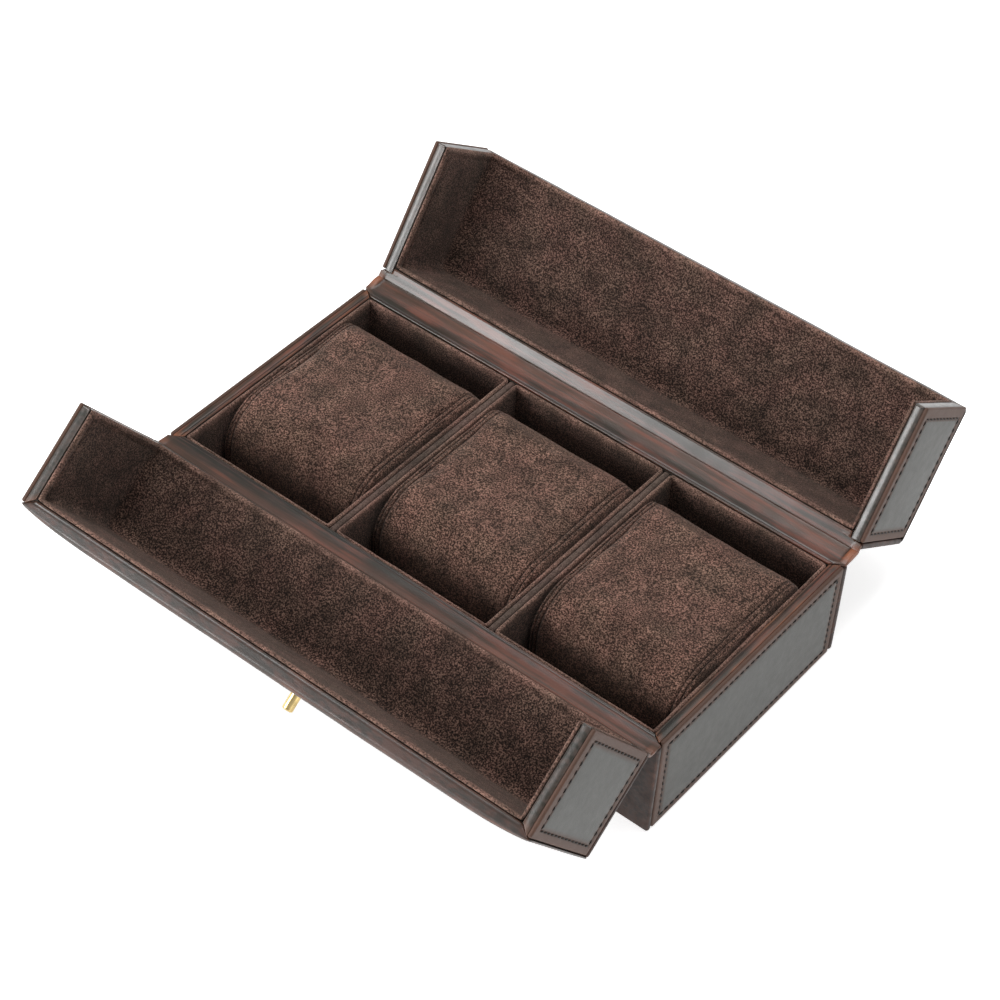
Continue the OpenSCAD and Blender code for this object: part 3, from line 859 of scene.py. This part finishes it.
def lining_tub(seed):
    """A lid's suede lining: one soft skin over the wall, the top and both ends.

    Its corners are sharp at the open edges and soft further in, and the edges are rolled.
    """
    wall, top = lid_box("wall_lining"), lid_box("top_lining")
    end = lid_box("right_lining")
    low = np.array([-end[0][0], wall[1][1], wall[0][2]])
    high = np.array([end[0][0], top[1][1], top[0][2]])
    thick = end[1][0] - end[0][0]
    r = LINING_FILLET
    bead = [d * MM for d in (0.4, 0.8, 1.3, 1.8, 2.3, 2.8, 3.3, 4, 6)]
    axes = [spaced(low[0], high[0], r, r, 4 * MM),
            spaced(low[1], high[1], r, 0, 3 * MM, [high[1] - b for b in bead]),
            spaced(low[2], high[2], 0, r, 3 * MM, [low[2] + b for b in bead])]
    flat, faces = grid_box(axes, {(1, 1), (2, 0)})
    core = flat.copy()
    core[:, 0] = np.clip(flat[:, 0], low[0] + r, high[0] - r)
    core[:, 1] = np.maximum(flat[:, 1], low[1] + r)
    core[:, 2] = np.minimum(flat[:, 2], high[2] - r)
    out = unit(flat - core)
    edge = np.minimum(high[1] - flat[:, 1], flat[:, 2] - low[2])
    soft = np.clip(edge / (12 * MM), 0, 1).reshape(-1, 1)
    inner = flat + (core + out * r - flat) * soft ** 2 * (3 - 2 * soft)
    roll = channel(edge - 1.0 * MM, 1.0 * MM) * 0.45 * MM - channel(edge - 3.0 * MM, 0.6 * MM) * 0.35 * MM
    inner -= out * (roll + waves(inner, 18 * MM, seed) * 0.35 * MM * soft[:, 0]).reshape(-1, 1)
    made = with_thickness(inner, faces, out, edge, thick, high, low)
    made.edge = made.edge * 0.45
    # the dip behind the rolled edge is darkened in the material: painted shade
    made.groove = 0.35 * channel(made.edge - 1.5 * MM, 0.25 * MM)
    return made


def with_thickness(inner, faces, out, edge, thick, high, low):
    """A closed shell from a lining's visible side: a back, and a rounded lip round its open edges."""
    count = len(inner)
    points, outs, edges = [inner, inner + out * thick], [-out, out], [edge, edge]
    quads = [f[::-1] for f in faces] + [[i + count for i in f] for f in faces]
    sides = {(a, b) for f in faces for a, b in zip(f, f[1:] + f[:1])}
    open_sides = [(a, b) for a, b in sorted(sides) if (b, a) not in sides]
    rim = sorted({i for side in open_sides for i in side})
    past, near = np.zeros((len(rim), 3)), 0.3 * MM
    past[np.abs(inner[rim, 1] - high[1]) < near, 1] = 1
    past[np.abs(inner[rim, 2] - low[2]) < near, 2] = -1
    past = unit(past)
    angles = np.linspace(0, math.pi, 6)[1:-1]
    middle, half = (inner[rim] + points[1][rim]) / 2, (inner[rim] - points[1][rim]) / 2
    start, place = 2 * count, {v: i for i, v in enumerate(rim)}
    for a in angles:
        points.append(middle + half * math.cos(a) + past * math.sin(a) * thick / 2)
        outs.append(past)
        edges.append(np.zeros(len(rim)))

    def ring(level, v):
        if level == 0:
            return v
        if level == len(angles) + 1:
            return v + count
        return start + (level - 1) * len(rim) + place[v]

    for a, b in open_sides:
        for level in range(len(angles) + 1):
            quads.append([ring(level, a), ring(level, b), ring(level + 1, b), ring(level + 1, a)])
    return Shape(np.concatenate(points), quads, np.concatenate(outs), np.concatenate(edges))


def make_lid(lid, seed):
    place, body = LID_PLACE[lid], lid + "_lid"
    prefix = body + "_"

    def add(name, shape, material, parts):
        return add_piece(prefix + name, shape.placed(place), material, body,
                         [prefix + p for p in parts])

    top = add("padded_top", padded_top(), TOP_LEATHER, ["top_cover"])
    add("wall_leather", cover_board(*lid_box("wall_cover"), seed), LEATHER, ["wall_cover"])
    add("cap_strips", cap_strips(seed), CAP_LEATHER, ["rim"])
    # the lid lining takes the darkened lining suede, whose darkness is painted shade
    add("lining_suede_painted_shade", lining_tub(seed + 1), SHADED_LINING_SUEDE,
        ["wall_lining", "top_lining", "left_lining", "right_lining"])
    for i, (side, sign) in enumerate(SIDES.items()):
        low, high = lid_box("right_end_panel")
        x = sorted((sign * low[0], sign * high[0]))
        shape, sewing = end_panel((x[0], low[1], low[2]), (x[1], high[1], high[2]), sign, seed + 2 + i,
                                  STITCH_INSET + LID_SEAM_SHIFT)
        add(side + "_panel_leather", shape, PANEL_LEATHER, [side + "_end_panel"])
        add(side + "_panel_stitches", sewing, THREAD, [])


# ---- Hinges ----

def hinge_line(lid):
    """The middle line of a hinge's leather across the box, and where it leaves the tray and meets the lid."""
    sign = -1 if lid == "front" else 1
    board, cover = node_box(lid + "_wall_board"), node_box(lid + "_cover")
    bay_side, outer = (board[1][1], cover[0][1]) if sign < 0 else (board[0][1], cover[1][1])
    half = HINGE_THICK / 2
    top = node_box("right_rim")[1][2] - half
    wall, lining = lid_box("wall_cover"), lid_box("wall_board")
    foot = wall[0][2] - half - 0.1 * MM
    lid_ends = moved([(0, wall[0][1] + 0.3 * MM, foot), (0, lining[1][1] - SLIT, foot)], LID_PLACE[lid])
    bay_edge = np.array([0, bay_side + sign * SLIT, top])
    shoulder = np.array([0, outer - sign * 0.6 * MM, top])
    rise = (lid_ends[1] - lid_ends[0]) / np.linalg.norm(lid_ends[1] - lid_ends[0])
    fold = lid_ends[0] - rise * HINGE_FOLD_DROP
    corners = [bay_edge, (bay_edge + shoulder) / 2, shoulder, (shoulder + fold) / 2, fold,
               fold + rise * HINGE_FOLD_DROP / 2, lid_ends[0], lid_ends.mean(0), lid_ends[1]]
    return smooth_line(corners, 0.4 * MM), shoulder, lid_ends[0]


def smooth_line(points, step):
    """A smooth line through points, with points on it evenly spaced."""
    points = [np.array(p, float) for p in points]
    padded = [2 * points[0] - points[1]] + points + [2 * points[-1] - points[-2]]
    fine = []
    for i in range(len(points) - 1):
        a, b, c, d = padded[i:i + 4]
        for t in np.linspace(0, 1, 20, endpoint=False):
            fine.append(0.5 * (2 * b + (c - a) * t + (2 * a - 5 * b + 4 * c - d) * t ** 2
                               + (3 * b - a - 3 * c + d) * t ** 3))
    return resampled(step, np.array(fine + [points[-1]]))[0]


def hinge_strip(lid, seed):
    """A hinge's leather as one strip: mitred on the tray, square on the lid, rolled and raw at both ends."""
    line, shoulder, lid_foot = hinge_line(lid)
    count = len(line)
    half = HINGE_THICK / 2
    along = unit(np.gradient(line, axis=0))
    up = np.stack([np.zeros(count), -along[:, 2], along[:, 1]], axis=1)
    if up[0, 2] < 0:
        up = -up
    t = np.linspace(0, np.linalg.norm(np.diff(line, axis=0), axis=1).sum(), count)
    bend_start, bend_end = (t[np.argmin(np.linalg.norm(line - p, axis=1))] for p in (shoulder, lid_foot))
    bend = (bend_start + bend_end) / 2
    in_bend = channel(t - bend, 0.5 * (bend_end - bend_start))
    rim, wall = node_box("right_rim"), node_box("right_wall_board")
    longest = node_box(lid + "_hinge_leather")[1][0]
    board = wall[1][1] - wall[0][1]
    width = (rim[1][1] - rim[0][1] - board) / 2
    reach = np.interp(t, [0, width, width + 0.5 * MM], [rim[0][0], rim[1][0], longest])
    reach = np.minimum(reach, np.interp(t[-1] - t, [width - 0.5 * MM, width], [rim[0][0] - SLIT, longest]))
    loop = [(i, 1) for i in range(count)] + [(i, -1) for i in reversed(range(count))]
    shares = spaced(-1, 1, half / longest, half / longest, 3.5 * MM / longest,
                    [s * (1 - d * MM / longest) for s in (-1, 1)
                     for d in (0.7, 1.4, 2.1, 2.8, 3.3, 3.7, 4.1, 4.6, 5.2)])
    points, out, edge, groove, border = [], [], [], [], []
    from_lid = t[-1] - t
    line_lift, line_groove = bead_and_groove(t)
    for share in shares:
        near = (1 - abs(share)) * longest
        rolled = 1 / (1 + math.exp((near - HINGE_END) / (0.35 * MM)))
        ends = HINGE_END_SHARE[lid] * rolled * in_bend
        pinch = HINGE_END_SHARE[lid] * channel(near - HINGE_END - 0.7 * MM, 0.5 * MM) * in_bend
        for i, s in loop:
            tip = min(1.0, (min(t[i], from_lid[i]) + 0.25 * half) / half)
            tuck = min(1.0, (near + 0.25 * half) / half)
            thick = half * math.sqrt(tip * tuck) + ends[i] * HINGE_END_SWELL * tuck
            lift = s * thick + (line_lift[i] - line_groove[i] * GROOVE_DEPTH if s > 0 else 0)
            points.append([share * reach[i], *(line[i] + up[i] * lift)[1:]])
            out.append(up[i] * s)
            edge.append(min(near, t[i] + 0.2 * MM, from_lid[i], 0.5 * MM + 0.5 * abs(t[i] - bend)))
            # the groove and the pinch are darkened in the material: painted shade
            groove.append(max(line_groove[i], pinch[i]) if s > 0 else 0)
            border.append(min(1, ends[i] + 0.16 * in_bend[i]))
    faces = tube_faces(len(shares), len(loop))
    if lid == "rear":
        faces = [f[::-1] for f in faces]
    made = Shape(np.array(points), faces, *(np.array(v) for v in (out, edge, groove, border)))
    return made.push(waves(made.points, 10 * MM, seed) * 0.12 * MM), shoulder, lid_foot


def make_hinge(lid, seed):
    shape, shoulder, lid_foot = hinge_strip(lid, seed)
    piece = add_piece(lid + "_hinge_strip", shape, STRIP_LEATHER, None, [lid + "_hinge_leather"])
    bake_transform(piece)


# ---- Stud and hidden parts ----

def make_stud():
    """The brass stud, turned, with a softly rounded tip and a fine collar where it meets the leather."""
    low, high = closed_box("pull_stud")
    r, height = (high[0] - low[0]) / 2, high[2] - low[2]
    sink = TOP_EDGE_DROP * 0.15
    profile = [(0, -sink), (r * 1.12, -sink), (r * 1.12, 0.25 * MM), (r * 1.05, 0.5 * MM), (r, 0.6 * MM),
               (r, height - 0.7 * MM), (r - 0.2 * MM, height - 0.25 * MM), (r - 0.65 * MM, height),
               (0, height)]
    sides = 48
    x, y = (low[:2] + high[:2]) / 2
    points = [(x, y, low[2] + profile[0][1])]
    for radius, z in profile[1:-1]:
        points += [(x + radius * math.cos(a), y + radius * math.sin(a), low[2] + z)
                   for a in 2 * math.pi * np.arange(sides) / sides]
    points.append((x, y, low[2] + profile[-1][1]))
    last = len(points) - 1
    faces = [[1 + v for v in f] for f in tube_faces(len(profile) - 2, sides)[:-2]]
    faces += [[0, 1 + (k + 1) % sides, 1 + k] for k in range(sides)]
    faces += [[last, last - sides + k, last - sides + (k + 1) % sides] for k in range(sides)]
    points = np.array(points)
    shape = Shape(points, faces, np.zeros_like(points), np.full(len(points), UNWORN))
    piece = add_piece("pull_stud_brass", shape.placed(LID_PLACE["front"]), BRASS, "front_lid",
                      ["pull_stud"])
    soften(piece, 0.12 * MM)


def finish_cad_nodes():
    """Materials and softened edges for the CAD nodes that stay."""
    finishes = {"board": BOARD, "magnet": STEEL, "brass": BRASS, "leather": LEATHER}
    slots = {p["node"]: p["material_slot"] for p in frame["record"]["subparts"]}
    for name, cad in NODES.items():
        if cad.hide_render or slots[name] not in finishes:
            continue
        cad.data.materials.clear()
        cad.data.materials.append(finishes[slots[name]])
        soften(cad, 0.3 * MM)


# ---- Stage ----

CAMERA_AIM = (-0.0008, -0.0004, 0.055)
CAMERA_DISTANCE = 1.2759
CAMERA_AZIMUTH, CAMERA_ELEVATION, CAMERA_ROLL = 35.74, 45.0, 4.23
CAMERA_LENS = 102.4


def make_camera():
    camera = new_object("camera", bpy.data.cameras.new("camera"))
    a, e = math.radians(CAMERA_AZIMUTH), math.radians(CAMERA_ELEVATION)
    back = Vector((math.sin(a) * math.cos(e), -math.cos(a) * math.cos(e), math.sin(e)))
    camera.location = Vector(CAMERA_AIM) + back * CAMERA_DISTANCE
    level = back.to_track_quat("Z", "Y").to_matrix()
    camera.rotation_euler = (level @ Matrix.Rotation(math.radians(CAMERA_ROLL), 3, "Z")).to_euler()
    camera.data.lens = CAMERA_LENS
    camera.data.clip_start, camera.data.clip_end = 0.05, 20
    bpy.context.scene.camera = camera


def add_light(name, place, size, power):
    """A soft square light aimed at the box."""
    light = bpy.data.lights.new(name, "AREA")
    light.size, light.energy = size, power
    lamp = new_object(name, light)
    lamp.location = place
    lamp.rotation_euler = (-Vector(place)).to_track_quat("-Z", "Y").to_euler()


def make_world():
    """A pale studio: bright near the horizon and overhead, darker between."""
    world = bpy.data.worlds.new("studio")
    world.use_nodes = True
    tree = world.node_tree
    height = node(tree, "SeparateXYZ", {0: node(tree, "TexCoord").outputs["Generated"]})
    tone = ramp(tree, height.outputs[2], [(0.0, (1.1,) * 3), (0.35, (0.95,) * 3), (0.55, (0.36,) * 3),
                                          (0.8, (0.36,) * 3), (1.0, (0.7,) * 3)])
    background = tree.nodes["Background"]
    tree.links.new(tone, background.inputs["Color"])
    background.inputs["Strength"].default_value = 0.68
    bpy.context.scene.world = world


def make_floor():
    """A pale table that glows a little, as a light table does, so shadows on it stay faint."""
    material, tree = new_tree("pale_floor")
    tone = ramp(tree, grain(tree, object_space(tree), 0.3, 2), [(0.3, (0.93,) * 3), (0.7, (0.95,) * 3)])
    surface(tree, {"Base Color": tone, "Roughness": 0.9, "Emission Color": (1, 1, 1, 1),
                   "Emission Strength": 0.70})
    mesh = bpy.data.meshes.new("floor")
    reach = 6
    mesh.from_pydata([(-reach, -reach, 0), (reach, -reach, 0), (reach, reach, 0), (-reach, reach, 0)],
                     [], [(0, 1, 2, 3)])
    mesh.materials.append(material)
    floor = new_object("floor", mesh)
    floor.location.z = -0.2 * MM


def make_stage():
    bpy.context.scene.view_settings.view_transform = "Standard"
    make_world()
    add_light("overhead", (-0.1, 0.3, 1.5), 1.0, 15)
    add_light("window", (-0.80, -1.18, 0.53), 0.6, 14)
    make_floor()


make_camera()
make_stage()
make_tray_shell()
make_bays()
for number, bay in enumerate(BAYS):
    make_cushion(bay, 21 + number)
for number, lid in enumerate(LIDS):
    make_lid(lid, 31 + 5 * number)
    make_hinge(lid, 41 + number)
make_stud()
finish_cad_nodes()
